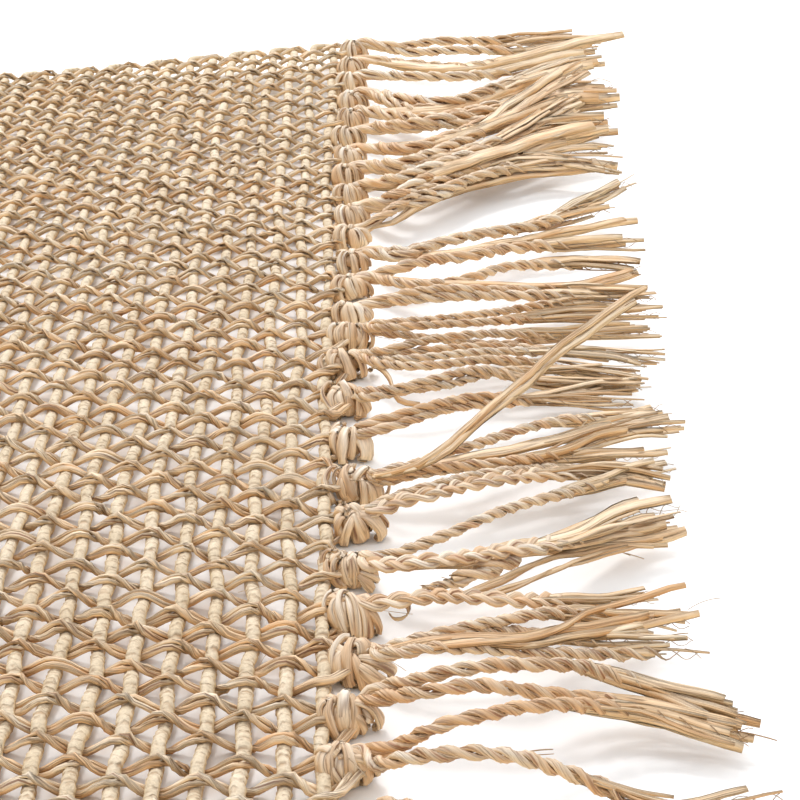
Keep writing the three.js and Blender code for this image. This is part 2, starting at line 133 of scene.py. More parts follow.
    (22, 1, 1.10, 0.00, 4, 1.7, [(187.5, -113.8, 5.2), (193.1, -114.9, 6.9), (199.1, -115.6, 7.9), (203.9, -116.3, 7.9), (209.1, -113.4, 7.1), (214.4, -110.8, 6.0), (221.3, -106.8, 5.1), (229.2, -103.7, 5.0)]),
    (22, 1, 1.00, 0.00, 1, 0.5, [(187.5, -114.3, 5.2), (194.2, -115.8, 6.9), (201.4, -117.0, 7.9), (205.1, -116.1, 7.9), (209.2, -112.7, 7.1), (214.9, -106.8, 6.0), (222.0, -101.9, 5.1), (227.0, -99.9, 5.0)]),
    (23, 2, 1.20, 0.66, 6, 3.0, [(186.1, -121.6, 4.9), (189.1, -123.0, 6.6), (192.7, -123.4, 7.9), (196.2, -123.3, 8.7), (200.9, -123.0, 9.0), (205.7, -122.5, 8.6), (209.5, -121.1, 7.6), (213.2, -120.7, 6.3), (217.9, -121.4, 5.1), (224.7, -124.4, 4.2), (229.2, -127.1, 4.0)]),
    (23, 2, 1.20, 0.60, 6, 3.0, [(185.8, -123.4, 4.7), (189.1, -124.9, 6.2), (192.6, -125.7, 7.3), (197.2, -125.5, 7.9), (200.7, -126.0, 7.9), (205.4, -126.0, 7.1), (210.2, -125.5, 5.8), (217.4, -125.3, 4.4), (224.3, -127.2, 3.4), (230.0, -129.5, 3.0)]),
    (24, 2, 1.20, 0.62, 6, 3.0, [(186.7, -134.2, 5.2), (189.3, -135.6, 7.2), (191.5, -136.0, 8.7), (194.9, -135.3, 9.7), (198.9, -134.5, 10.0), (202.4, -132.7, 9.5), (207.2, -130.5, 8.4), (212.1, -128.8, 6.8), (218.1, -128.3, 5.3), (223.8, -129.8, 4.3), (229.2, -132.1, 4.0)]),
    (24, 2, 1.20, 0.75, 5, 2.4, [(186.2, -136.4, 4.8), (189.2, -137.7, 6.5), (193.1, -138.6, 7.6), (197.5, -139.1, 8.0), (201.9, -139.6, 7.6), (206.3, -140.2, 6.3), (210.7, -141.0, 4.7), (215.0, -142.7, 3.5), (220.3, -144.4, 3.0)]),
    (25, 2, 1.20, 0.70, 5, 2.6, [(186.4, -145.4, 5.8), (192.5, -149.1, 7.6), (200.9, -150.8, 7.9), (211.8, -148.9, 6.5), (221.1, -145.4, 4.7), (231.0, -142.8, 4.0)]),
]

# Short frayed ends in a row below the plait of knot 20: the line each follows, and thickness.
SHORT_ENDS = [
    ([(197.8, -97.9, 5.4), (195.2, -98.9, 5.7), (192.6, -99.4, 5.4)], 0.9),
    ([(203.0, -95.0, 5.6), (199.2, -97.6, 6.3), (195.5, -98.5, 5.8)], 1.5),
    ([(205.6, -93.3, 5.8), (202.0, -95.6, 6.5), (198.3, -96.5, 6.0)], 1.4),
]

# Folds of the nearer knots of the right fringe: knot, where the fold begins on top, where it
# ends below, and how wide it is.
FOLDS = [
    (14, (181.6, -9.6, 4.2), (181.8, -11.0, 0.9), 1.36),
    (14, (183.3, -9.7, 4.4), (183.4, -11.7, 0.8), 1.36),
    (14, (184.8, -10.4, 4.5), (185.0, -11.7, 0.8), 1.36),
    (14, (186.4, -10.0, 4.3), (186.5, -12.0, 0.9), 1.36),
    (14, (187.4, -10.6, 3.8), (188.2, -11.0, 1.2), 1.53),
    (15, (181.1, -20.4, 4.0), (182.5, -22.4, 0.9), 1.48),
    (15, (182.9, -20.6, 4.4), (184.5, -23.8, 0.8), 1.64),
    (15, (184.7, -21.4, 4.4), (186.6, -22.8, 1.0), 1.32),
    (15, (186.0, -21.0, 3.8), (188.3, -21.0, 1.6), 1.32),
    (15, (179.8, -20.7, 3.4), (180.6, -23.9, 0.9), 1.15),
    (16, (180.6, -33.1, 3.9), (181.6, -38.4, 0.8), 2.06),
    (16, (183.1, -34.0, 4.6), (184.2, -37.1, 0.8), 1.58),
    (16, (184.2, -34.3, 4.4), (185.9, -38.1, 0.9), 1.58),
    (16, (185.1, -36.7, 3.6), (186.9, -37.4, 1.6), 1.42),
    (16, (182.0, -35.2, 3.6), (182.9, -37.6, 0.9), 0.95),
    (17, (182.2, -47.9, 4.2), (181.6, -50.4, 1.0), 1.37),
    (17, (183.4, -50.1, 4.4), (182.9, -54.0, 0.8), 1.36),
    (17, (184.7, -50.2, 4.6), (184.1, -52.8, 1.0), 0.91),
    (17, (185.1, -50.4, 4.0), (186.3, -53.0, 1.1), 1.97),
    (17, (182.7, -48.1, 3.6), (182.3, -52.1, 1.0), 1.06),
    (17, (185.5, -51.5, 3.2), (186.9, -51.7, 1.6), 1.21),
    (18, (181.1, -62.1, 4.0), (181.5, -66.7, 0.8), 1.31),
    (18, (182.0, -62.9, 4.2), (182.4, -64.1, 1.4), 0.73),
    (18, (183.3, -63.0, 4.4), (183.8, -65.8, 0.8), 2.18),
    (18, (185.9, -64.0, 4.9), (184.2, -64.7, 2.0), 1.16),
    (18, (185.5, -65.6, 3.8), (185.9, -67.1, 0.8), 0.87),
    (18, (186.8, -65.8, 3.2), (187.5, -66.6, 1.0), 1.88),
    (18, (184.8, -63.4, 3.6), (185.0, -65.7, 0.9), 1.02),
    (18, (189.3, -63.8, 2.6), (188.8, -65.5, 0.9), 0.58),
    (19, (182.5, -77.3, 3.8), (182.2, -77.1, 1.0), 0.84),
    (19, (183.2, -76.6, 3.6), (183.6, -76.3, 1.2), 0.84),
    (19, (184.0, -78.4, 4.1), (182.9, -78.6, 0.7), 1.11),
    (19, (184.2, -77.9, 4.3), (185.1, -77.8, 0.7), 1.25),
    (19, (184.8, -77.7, 4.0), (185.9, -77.5, 1.0), 0.98),
    (19, (185.7, -76.6, 4.0), (188.2, -76.8, 0.9), 2.10),
    (19, (184.1, -75.1, 4.8), (185.4, -76.1, 2.8), 0.98),
    (19, (182.1, -74.7, 4.3), (183.3, -75.3, 2.4), 0.84),
    (19, (182.9, -74.7, 4.6), (184.3, -75.4, 2.6), 0.70),
    (19, (186.0, -75.3, 3.8), (188.8, -75.3, 1.8), 0.98),
    (20, (180.7, -86.1, 3.9), (180.1, -87.3, 1.2), 0.95),
    (20, (180.4, -88.1, 3.2), (182.8, -90.5, 0.7), 1.07),
    (20, (181.9, -88.2, 4.3), (182.4, -88.7, 1.0), 1.21),
    (20, (184.0, -89.2, 4.7), (182.9, -89.0, 0.9), 1.07),
    (20, (184.0, -89.8, 4.4), (184.0, -90.2, 0.8), 1.20),
    (20, (184.8, -89.4, 4.2), (184.8, -90.5, 0.8), 0.54),
    (20, (185.2, -90.4, 3.8), (187.1, -89.9, 2.4), 0.80),
    (20, (185.2, -90.8, 3.0), (187.2, -90.3, 1.6), 0.80),
    (20, (184.9, -90.9, 2.6), (186.4, -90.9, 0.7), 1.20),
    (20, (182.3, -87.6, 4.4), (183.6, -88.4, 3.6), 0.54),
    (21, (180.8, -97.6, 4.2), (181.0, -99.7, 0.9), 1.17),
    (21, (182.3, -98.5, 4.7), (182.5, -102.0, 0.8), 1.42),
    (21, (183.1, -99.1, 4.3), (184.1, -103.3, 0.7), 0.77),
    (21, (183.6, -99.1, 4.7), (184.7, -103.3, 0.7), 1.03),
    (21, (184.4, -99.9, 4.6), (185.7, -103.0, 0.8), 1.16),
    (21, (185.0, -100.9, 4.0), (187.2, -102.0, 1.0), 1.03),
    (21, (181.7, -97.5, 3.8), (181.6, -100.3, 1.0), 0.52),
    (22, (182.5, -109.3, 4.5), (181.8, -112.9, 0.8), 1.62),
    (22, (183.5, -110.3, 4.8), (183.3, -113.9, 0.7), 1.36),
    (22, (183.8, -112.5, 3.9), (185.0, -114.8, 0.7), 0.99),
    (22, (184.6, -110.6, 4.7), (185.3, -111.6, 3.4), 1.61),
    (22, (184.8, -113.0, 3.9), (188.6, -113.0, 1.9), 1.23),
    (22, (184.7, -114.2, 3.2), (187.5, -114.6, 0.8), 1.48),
    (22, (181.5, -109.5, 3.6), (181.2, -111.0, 1.2), 0.75),
    (23, (179.9, -122.7, 3.9), (180.8, -123.4, 0.8), 1.07),
    (23, (181.1, -122.3, 4.3), (181.7, -125.3, 0.7), 0.95),
    (23, (182.6, -122.2, 4.8), (182.6, -124.3, 0.7), 1.43),
    (23, (183.6, -122.6, 4.5), (183.5, -124.6, 0.7), 1.07),
    (23, (183.9, -123.0, 4.2), (186.8, -123.1, 1.3), 1.66),
    (23, (183.4, -123.9, 3.4), (184.8, -124.1, 0.9), 0.95),
    (24, (180.3, -132.0, 4.0), (179.9, -133.4, 0.9), 1.15),
    (24, (181.5, -131.9, 4.5), (181.1, -134.7, 0.7), 1.26),
    (24, (182.7, -132.5, 4.6), (183.3, -134.4, 0.7), 1.26),
    (24, (183.3, -133.1, 4.2), (185.1, -134.0, 0.9), 1.37),
    (24, (183.8, -133.7, 3.8), (186.3, -133.5, 1.9), 1.03),
    (24, (180.8, -132.7, 3.4), (182.5, -135.0, 0.7), 0.80),
]


def ramp(a, b, t):
    s = np.clip((np.asarray(t, float) - a) / (b - a), 0.0, 1.0)
    return s * s * (3 - 2 * s)


def strayed(X, Y):
    u, v = X / HALF_X, Y / HALF_Y
    out = np.where(
        u > 0, FLARE_X * ramp(0.15, 1.1, v) * u**3, FLARE_XL * ramp(0.2, 1.1, -v) * u**3
    )
    drawn = np.where(
        v > 0,
        PINCH_FAR * (1 - np.where(u > 0, 0.94, 0.86) * u * u) * v * v,
        -PINCH_NEAR * (1 - ramp(0.4, 1.0, np.abs(u))) * v * v,
    )
    out = out + DRIFT * ramp(0.3, 0.72, -v) * ramp(0.2, 0.7, u)
    return (
        X + out + WAVE_X * np.sin(4.1 * v + 1.3) * u,
        Y - drawn + WAVE_Y * np.sin(5.3 * u + 2.1) * v,
    )


def lifted(X, Y):
    u, v = X / HALF_X, Y / HALF_Y
    return LIFT_FAR * ramp(0.45, 1.05, u) * ramp(0.5, 1.05, v) + LIFT_NEAR * ramp(
        0.6, 1.05, -u
    ) * ramp(0.6, 1.05, -v)


def place(P):
    """Points of the true rectangle, moved to where they lie on the real mat."""
    X, Y = P[..., 0], P[..., 1]
    Xc = np.clip(X, -HALF_X, HALF_X)
    x, y = strayed(Xc, Y)
    return np.stack([x + X - Xc, y, P[..., 2] + lifted(Xc, Y)], -1)


def wander(n, s, waves):
    """n smooth random curves over s, each a sum of waves of (length, height)."""
    s = np.broadcast_to(s, (n, np.shape(s)[-1]))
    out = np.zeros(s.shape)
    for length, height in waves:
        k = 2 * PI / length * rng.uniform(0.75, 1.3, (n, 1))
        out += height * np.sin(k * s + rng.uniform(0, 2 * PI, (n, 1)))
    return out


def unit(v):
    return v / np.maximum(np.linalg.norm(v, axis=-1, keepdims=True), 1e-9)


# ---- joined tubes ---------------------------------------------------------------------
class Skein:
    """Closed tubes gathered into one mesh."""

    def __init__(self):
        self.co, self.tone, self.dent, self.n = [], [], [], 0
        self.quads, self.tris, self.uvq, self.uvt = [], [], [], []

    def tubes(self, P, ra, rb, turn=0.0, tone=0.5, sides=6, up=(0.0, 0.0, 1.0), lobes=0.0, folds=0,
              seam=False, rings=None):
        """P is (tubes, stations, 3). ra is the half size across, rb the one along up, and
        turn rolls the section. lobes makes it uneven, for a folded blade, and folds is how
        many grooves run along it. seam marks the side that lies against its twin, which the
        material darkens as painted shade, and rings is how deeply each station is creased all round."""
        N, M, _ = P.shape
        K = 3 * folds if folds else sides
        full = lambda a: np.broadcast_to(
            np.asarray(a, float) if np.ndim(a) != 1 else np.asarray(a, float)[:, None], (N, M)
        )
        ra, rb, turn, tone = full(ra), full(rb), full(turn), full(tone)
        T = unit(np.gradient(P, axis=1))
        B = unit(np.cross(np.broadcast_to(np.asarray(up, float), P.shape), T))
        W = np.cross(T, B)
        a = 2 * PI * np.arange(K) / K
        if seam:  # so that a corner of the section lies against the twin
            a = a + (PI / 3 if folds else PI / K)
        phase = rng.uniform(0, 2 * PI, (N, 1, 1))
        swell = 1 + lobes * np.sin((2 if folds else 3) * a + phase)
        dent = np.zeros((N, M, K))
        if folds:
            deep = 0.55 + wander(N * folds, np.arange(M), [(23, 0.3), (9, 0.25)]).reshape(N, folds, M)
            dent[:, :, ::3] = np.clip(deep, 0.15, 1.0).transpose(0, 2, 1)
            swell = swell * (1.06 - 0.3 * dent)
        # the side against the twin is marked for painted shade in the material
        if seam:
            dent[:, :, 3 if folds else K // 2] = 1.0
        if rings is not None:
            dent = rings[..., None] * rng.uniform(0.35, 1.0, (N, M, K))
        self.dent.append(dent.reshape(-1))
        cx, cz = ra[..., None] * np.cos(a) * swell, rb[..., None] * np.sin(a) * swell
        c, s = np.cos(turn)[..., None], np.sin(turn)[..., None]
        x, z = cx * c - cz * s, cx * s + cz * c
        V = P[:, :, None, :] + B[:, :, None, :] * x[..., None] + W[:, :, None, :] * z[..., None]
        V[..., 2] = np.maximum(V[..., 2], 0.03)  # it lies on the table, not in it
        self.co.append(V.reshape(-1, 3))
        self.tone.append(np.repeat(tone[..., None], K, 2).reshape(-1))

        step = np.linalg.norm(np.diff(P, axis=1), axis=-1)
        along = np.concatenate([np.zeros((N, 1)), np.cumsum(step, 1)], 1)
        along = along + rng.uniform(0, 400, (N, 1))
        base = self.n + (np.arange(N) * M * K)[:, None, None]
        i = (np.arange(M - 1) * K)[None, :, None]
        k = np.arange(K)[None, None, :]
        k1 = (k + 1) % K
        q = np.stack([base + i + k, base + i + k1, base + i + K + k1, base + i + K + k], -1)
        self.quads.append(q.reshape(-1, 4))
        u0 = np.broadcast_to(along[:, :-1, None], (N, M - 1, K))
        u1 = np.broadcast_to(along[:, 1:, None], (N, M - 1, K))
        v0 = np.broadcast_to(k / K, (N, M - 1, K))
        v1 = v0 + 1.0 / K
        uv = np.stack([u0, v0, u0, v1, u1, v1, u1, v0], -1).reshape(-1, 4, 2)
        self.uvq.append(uv)

        f = np.arange(1, K - 1)
        b0 = base[:, 0, :]
        head = np.stack([b0 + 0 * f, b0 + f + 1, b0 + f], -1).reshape(-1, 3)
        e0 = b0 + (M - 1) * K
        tail = np.stack([e0 + 0 * f, e0 + f, e0 + f + 1], -1).reshape(-1, 3)
        self.tris += [head, tail]
        for at, order in ((along[:, 0], (0 * f, f + 1, f)), (along[:, -1], (0 * f, f, f + 1))):
            v = np.broadcast_to(np.stack(order, -1) / K, (N, K - 2, 3))
            u = np.broadcast_to(at[:, None, None], (N, K - 2, 3))
            self.uvt.append(np.stack([u, v], -1).reshape(-1, 3, 2))
        self.n += N * M * K

    def triangles(self):
        return 2 * sum(len(q) for q in self.quads) + sum(len(t) for t in self.tris)

    def made(self, name, material, slot):
        co = np.concatenate(self.co) * MM
        quads, tris = np.concatenate(self.quads), np.concatenate(self.tris)
        uv = np.concatenate(
            [np.concatenate(self.uvq).reshape(-1, 2), np.concatenate(self.uvt).reshape(-1, 2)]
        )
        me = bpy.data.meshes.new(name)
        me.vertices.add(len(co))
        me.vertices.foreach_set("co", co.astype(np.float32).ravel())
        corner = np.concatenate([quads.ravel(), tris.ravel()]).astype(np.int32)
        me.loops.add(len(corner))
        me.loops.foreach_set("vertex_index", corner)
        starts = np.concatenate(
            [np.arange(len(quads)) * 4, 4 * len(quads) + 3 * np.arange(len(tris))]
        ).astype(np.int32)
        me.polygons.add(len(starts))
        me.polygons.foreach_set("loop_start", starts)
        me.update(calc_edges=True)
        me.polygons.foreach_set("use_smooth", np.ones(len(starts), bool))
        me.uv_layers.new(name="UVMap").data.foreach_set("uv", uv.astype(np.float32).ravel())
        me.attributes.new("tone", "FLOAT", "POINT").data.foreach_set(
            "value", np.concatenate(self.tone).astype(np.float32)
        )
        me.attributes.new("dent", "FLOAT", "POINT").data.foreach_set(
            "value", np.concatenate(self.dent).astype(np.float32)
        )
        me.validate()
        me.materials.append(material)
        obj = bpy.data.objects.new(name, me)
        bpy.context.scene.collection.objects.link(obj)
        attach(obj, "root")
        print(name, self.triangles(), "triangles")
        return obj


# ---- materials ------------------------------------------------------------------------
class Graph:
    def __init__(self, name):
        self.material = bpy.data.materials.new(name)
        self.material.use_nodes = True
        self.nodes = self.material.node_tree.nodes
        self.links = self.material.node_tree.links
        self.nodes.clear()

    def put(self, socket, value):
        if isinstance(value, bpy.types.NodeSocket):
            self.links.new(value, socket)
        else:
            socket.default_value = value

    def math(self, op, a, b=0.0, c=None):
        n = self.nodes.new("ShaderNodeMath")
        n.operation = op
        self.put(n.inputs[0], a)
        self.put(n.inputs[1], b)
        if c is not None:
            self.put(n.inputs[2], c)
        return n.outputs[0]

    def vector(self, x, y, z):
        n = self.nodes.new("ShaderNodeCombineXYZ")
        for s, v in zip(n.inputs, (x, y, z)):
            self.put(s, v)
        return n.outputs[0]

    def noise(self, vector, scale=1.0, detail=2.0, rough=0.5):
        n = self.nodes.new("ShaderNodeTexNoise")
        self.put(n.inputs["Vector"], vector)
        n.inputs["Scale"].default_value = scale
        n.inputs["Detail"].default_value = detail
        n.inputs["Roughness"].default_value = rough
        return n.outputs[0]

    def remap(self, value, a, b, c=0.0, d=1.0):
        n = self.nodes.new("ShaderNodeMapRange")
        n.interpolation_type = "SMOOTHSTEP"
        self.put(n.inputs[0], value)
        for i, v in zip((1, 2, 3, 4), (a, b, c, d)):
            self.put(n.inputs[i], v)
        return n.outputs[0]

    def blend(self, fac, a, b, how="MIX"):
        n = self.nodes.new("ShaderNodeMix")
        n.data_type = "RGBA"
        n.blend_type = how
        self.put(n.inputs[0], fac)
        self.put(n.inputs[6], a)
        self.put(n.inputs[7], b)
        return n.outputs[2]

    def around(self):
        """How far along the tube a point is, and its direction round the tube."""
        uv = self.nodes.new("ShaderNodeUVMap")
        uv.uv_map = "UVMap"
        s = self.nodes.new("ShaderNodeSeparateXYZ")
        self.links.new(uv.outputs[0], s.inputs[0])
        angle = self.math("MULTIPLY", s.outputs[1], 2 * PI)
        return s.outputs[0], self.math("COSINE", angle), self.math("SINE", angle)

    def attribute(self, name):
        n = self.nodes.new("ShaderNodeAttribute")
        n.attribute_name = name
        return n.outputs["Fac"]

    def shaded_low(self, colour):
        """Painted shade: redder and a little darker where the grass lies low in the weave, in the shade of what
        lies over it.
        """
        coords = self.nodes.new("ShaderNodeTexCoord")
        s = self.nodes.new("ShaderNodeSeparateXYZ")
        self.links.new(coords.outputs["Object"], s.inputs[0])
        h = self.remap(s.outputs[2], 0.1 * MM, 2.0 * MM)
        tint = self.blend(h, (0.87, 0.70, 0.52, 1.0), (1.0, 1.0, 1.0, 1.0))
        return self.blend(1.0, colour, tint, "MULTIPLY")

    def lit_top_shaded_below(self, colour):
        """Painted light: paler on the upper side, where the sun reaches, and painted warm shade below."""
        n = self.nodes.new("ShaderNodeNewGeometry")
        s = self.nodes.new("ShaderNodeSeparateXYZ")
        self.links.new(n.outputs["Normal"], s.inputs[0])
        h = self.remap(s.outputs[2], -0.1, 0.85)
        tint = self.blend(h, (1.08, 0.955, 0.73, 1.0), (0.998, 0.995, 1.0, 1.0))
        return self.blend(1.0, colour, tint, "MULTIPLY")

    def finish(self, colour, height, rough, bump, distance, specular=0.3):
        b = self.nodes.new("ShaderNodeBump")
        b.inputs["Strength"].default_value = bump
        b.inputs["Distance"].default_value = distance * MM
        self.links.new(height, b.inputs["Height"])
        p = self.nodes.new("ShaderNodeBsdfPrincipled")
        self.put(p.inputs["Base Color"], colour)
        p.inputs["Roughness"].default_value = rough
        p.inputs["Specular IOR Level"].default_value = specular
        self.links.new(b.outputs[0], p.inputs["Normal"])
        out = self.nodes.new("ShaderNodeOutputMaterial")
        self.links.new(p.outputs[0], out.inputs[0])
        return self.material


def srgb(r, g, b):
    f = lambda c: c / 255 / 12.92 if c <= 10 else ((c / 255 + 0.055) / 1.055) ** 2.4
    return (f(r), f(g), f(b), 1.0)


def grass(name, dark, mid, pale, crease, many=1.5, rough=0.45, low=False, folds=5.5, stretch=1.0, own=0.7):
    """Folded grass blades: rounded folds with dark crease lines painted between them as
    shade, and fine fibres along them. Neighbouring folds differ a little in colour."""
    g = Graph(name)
    u, x, y = g.around()
    tone = g.attribute("tone")
    stretched = lambda k, r: g.vector(
        g.math("MULTIPLY", u, k), g.math("MULTIPLY", x, r), g.math("MULTIPLY", y, r)
    )
    broad = g.noise(stretched(0.16, 0.55), 1.0, 1.0)
    fibre = g.noise(stretched(0.5 * stretch, 5.4), 1.0, 3.0, 0.6)
    fold = g.noise(stretched(0.085 * stretch, many), 1.0, 0.0)
    t = g.math("ADD", g.math("MULTIPLY", fold, folds), g.math("MULTIPLY", fibre, 0.22))
    away = g.math("MULTIPLY", g.math("ABSOLUTE", g.math("SUBTRACT", g.math("FRACT", t), 0.5)), 2.0)
    which = g.math("FRACT", g.math("MULTIPLY", g.math("FLOOR", g.math("ADD", t, 0.5)), 0.618))
    line = g.remap(away, 0.04, 0.26, 1.0, 0.0)
    dry = g.remap(g.attribute("dent"), -0.9, -0.1, 1.0, 0.0)
    shown = g.remap(g.noise(stretched(0.22 * stretch, 0.5), 1.0, 1.0), 0.33, 0.55, 0.25, 1.0)
    line = g.math("MULTIPLY", line, g.math("MULTIPLY", shown, own))
    line = g.math("MULTIPLY", line, g.math("SUBTRACT", 1.0, g.math("MULTIPLY", dry, 0.45)))
    groove = g.remap(g.math("ADD", g.attribute("dent"), g.math("MULTIPLY", fibre, 0.3)), 0.42, 1.05)
    line = g.math("MAXIMUM", line, groove)
    light = g.math("ADD", g.math("MULTIPLY", broad, 1.05), g.math("SUBTRACT", tone, 0.72))
    light = g.math("ADD", light, g.math("MULTIPLY", which, 0.24))
    light = g.math("ADD", light, g.math("MULTIPLY", dry, 0.08))
    if low:
        light = g.math("ADD", light, 0.06)
    colour = g.blend(g.remap(light, 0.0, 0.55), dark, mid)
    colour = g.blend(g.remap(light, 0.4, 1.0), colour, pale)
    streak = g.remap(fibre, 0.25, 0.75, 0.8, 1.14)
    colour = g.blend(1.0, colour, g.vector(streak, streak, streak), "MULTIPLY")
    # painted shade: the dark crease colour along the folds and on the side where a ply lies against its twin
    colour = g.blend(g.math("MULTIPLY", line, 0.78), colour, crease)
    # painted shade where the grass lies low in the weave
    if low:
        colour = g.shaded_low(colour)
    warm = g.blend(dry, (1.0, 1.0, 1.0, 1.0), (1.07, 0.992, 0.87, 1.0))
    # painted light on the upper side and painted warm shade below
    colour = g.lit_top_shaded_below(g.blend(1.0, colour, warm, "MULTIPLY"))
    round_ = g.math("MULTIPLY", g.math("POWER", away, 0.6), shown)
    height = g.math("ADD", g.math("MULTIPLY", fibre, 0.3), round_)
    return g.finish(colour, height, rough, 0.95, 0.18, 0.32)


def rush(name):
    """A pale round cord with rings where its pith has creased, painted darker in the rings as shade."""
    g = Graph(name)
    u, x, y = g.around()
    tone = g.attribute("tone")
    stretched = lambda k, r: g.vector(
        g.math("MULTIPLY", u, k), g.math("MULTIPLY", x, r), g.math("MULTIPLY", y, r)
    )
    fine = g.noise(stretched(2.6, 1.9), 1.0, 3.0, 0.6)
    drift = g.noise(stretched(0.5, 0.6), 1.0, 1.0)
    along = g.math("ADD", g.math("MULTIPLY", u, 0.61), g.math("MULTIPLY", drift, 1.3))
    along = g.math("ADD", along, g.math("MULTIPLY", fine, 0.08))
    away = g.math("MULTIPLY", g.math("ABSOLUTE", g.math("SUBTRACT", g.math("FRACT", along), 0.5)), 2.0)
    shown = g.remap(g.noise(stretched(0.6, 0.8), 1.0, 1.0), 0.34, 0.6, 0.12, 1.0)
    line = g.math("MULTIPLY", g.remap(away, 0.0, 0.45, 1.0, 0.0), g.math("MULTIPLY", shown, 0.55))
    crease = g.remap(g.math("ADD", g.attribute("dent"), g.math("MULTIPLY", fine, 0.5)), 0.5, 1.1)
    line = g.math("MAXIMUM", line, crease)
    broad = g.noise(stretched(0.14, 0.5), 1.0, 2.0)
    light = g.math("ADD", g.math("MULTIPLY", broad, 1.1), g.math("SUBTRACT", tone, 0.58))
    colour = g.blend(g.remap(light, 0.1, 0.85), srgb(207, 189, 161), srgb(224, 209, 185))
    grain = g.remap(fine, 0.28, 0.72, 0.86, 1.07)
    colour = g.blend(1.0, colour, g.vector(grain, grain, grain), "MULTIPLY")
    # painted shade: darker colour along the rings and creases
    colour = g.blend(g.math("MULTIPLY", line, 0.6), colour, srgb(160, 120, 82))
    # painted shade low in the weave, painted light on the upper side and warm shade below
    colour = g.lit_top_shaded_below(g.shaded_low(colour))
    height = g.math("SUBTRACT", g.math("MULTIPLY", fine, 0.6), line)
    return g.finish(colour, height, 0.66, 1.0, 0.34, 0.22)


weave_grass = grass(
    "weave_grass", srgb(232, 191, 147), srgb(241, 214, 179), srgb(246, 230, 206), srgb(120, 60, 28), 1.5,
    low=True,
)
knot_grass = grass(
    "knot_grass", srgb(209, 174, 138), srgb(225, 203, 176), srgb(240, 231, 218), srgb(104, 54, 26), 0.8,
    folds=2.6, own=0.5,
)
fringe_grass = grass(
    "fringe_grass", srgb(214, 177, 139), srgb(224, 201, 173), srgb(233, 221, 204), srgb(132, 74, 38), 0.8,
    folds=3.6, stretch=0.4,
)
cord_rush = rush("cord_rush")


# ---- the rush cords -------------------------------------------------------------------
def at_crossings(t, values):
    """values (n, crossings) eased between crossings, at t (m,) counted in crossings."""
    i = np.clip(np.floor(t).astype(int), 0, values.shape[1] - 2)
    f = np.clip(t - i, 0.0, 1.0)
    w = (1 - np.cos(PI * f)) / 2
    return values[:, i] * (1 - w) + values[:, i + 1] * w


rows = np.arange(ROW_FAR, ROW_NEAR + 1)
cords = np.arange(CORDS)
# +1 where the strand row passes over the cord, -1 where it passes under
over = np.where((rows[:, None] + cords[None, :]) % 2 == 1, 1.0, -1.0)
arch = over * ARCH * (1 + rng.normal(0, 0.05, over.shape)) + rng.normal(0, 0.03, over.shape)
dip = -over * CORD_BEND * (1 + rng.normal(0, 0.08, over.shape))


def cord_group(skein, which, near_steps, far_steps, sides, lumps=0.02, ringed=False):
    """Cords run from the near long edge to the far one and turn back into their neighbours."""
    t = np.concatenate(
        [
            np.arange(0, 27 * far_steps) / far_steps,
            27 + np.arange(0, 53 * near_steps + 1) / near_steps,
        ]
    )  # rows from the far edge
    Y = HALF_Y - t * ROW_PITCH
    n = len(which)
    Z = MIDDLE + at_crossings(t, dip[:, which].T)
    X = (HALF_X - which * CORD_PITCH)[:, None] + wander(
        n, Y, [(85, 0.30), (33, 0.22), (13, 0.12)]
    )
    P = np.stack([X, np.broadcast_to(Y, X.shape), Z], -1)
    quarter = np.linspace(0, PI / 2, 5)[1:]
    ends = []
    for far in (True, False):
        pair = np.where(which % 2 == 0, -1.0, 1.0) * (1 if far else -1)
        free = (which == 0) | (which == CORDS - 1) if not far else np.zeros(n, bool)
        end = P[:, 0] if far else P[:, -1]
        middle = (HALF_X - which * CORD_PITCH) + pair * CORD_PITCH / 2
        reach = (middle - end[:, 0])[:, None] * (1 - np.cos(quarter))
        reach[free] = 0
        y = end[:, 1:2] + (1 if far else -1) * 2.4 * np.sin(quarter)
        z = end[:, 2:3] + (MIDDLE - end[:, 2:3]) * (quarter / (PI / 2))
        e = np.stack([end[:, 0:1] + reach, y, z], -1)
        ends.append(e[:, ::-1] if far else e)
    P = np.concatenate([ends[0], P, ends[1]], 1)
    s = np.concatenate([[HALF_Y + 3] * 4, Y, [-HALF_Y - 3] * 4])
    r = CORD_R * (1 + rng.normal(0, 0.04, (n, 1))) * (1 + wander(n, s, [(9, 0.035), (4.1, 0.035)]))
    r = r * (1 + lumps * rng.normal(0, 1, r.shape))
    rings = None
    if ringed:  # a crease at every second station of the finer part
        rings = np.where(np.arange(r.shape[1]) % 2 == 0, rng.uniform(0.35, 1.0, r.shape), 0.0)
        rings[:, : 4 + 27 * far_steps] = 0.0
        r = r * (1.05 - 0.17 * rings)
    tone = 0.5 + rng.normal(0, 0.09, (n, 1)) + wander(n, s, [(60, 0.06), (21, 0.05)])
    skein.tubes(place(P), r, r * 0.95, tone=tone, sides=sides, lobes=0.03, rings=rings)


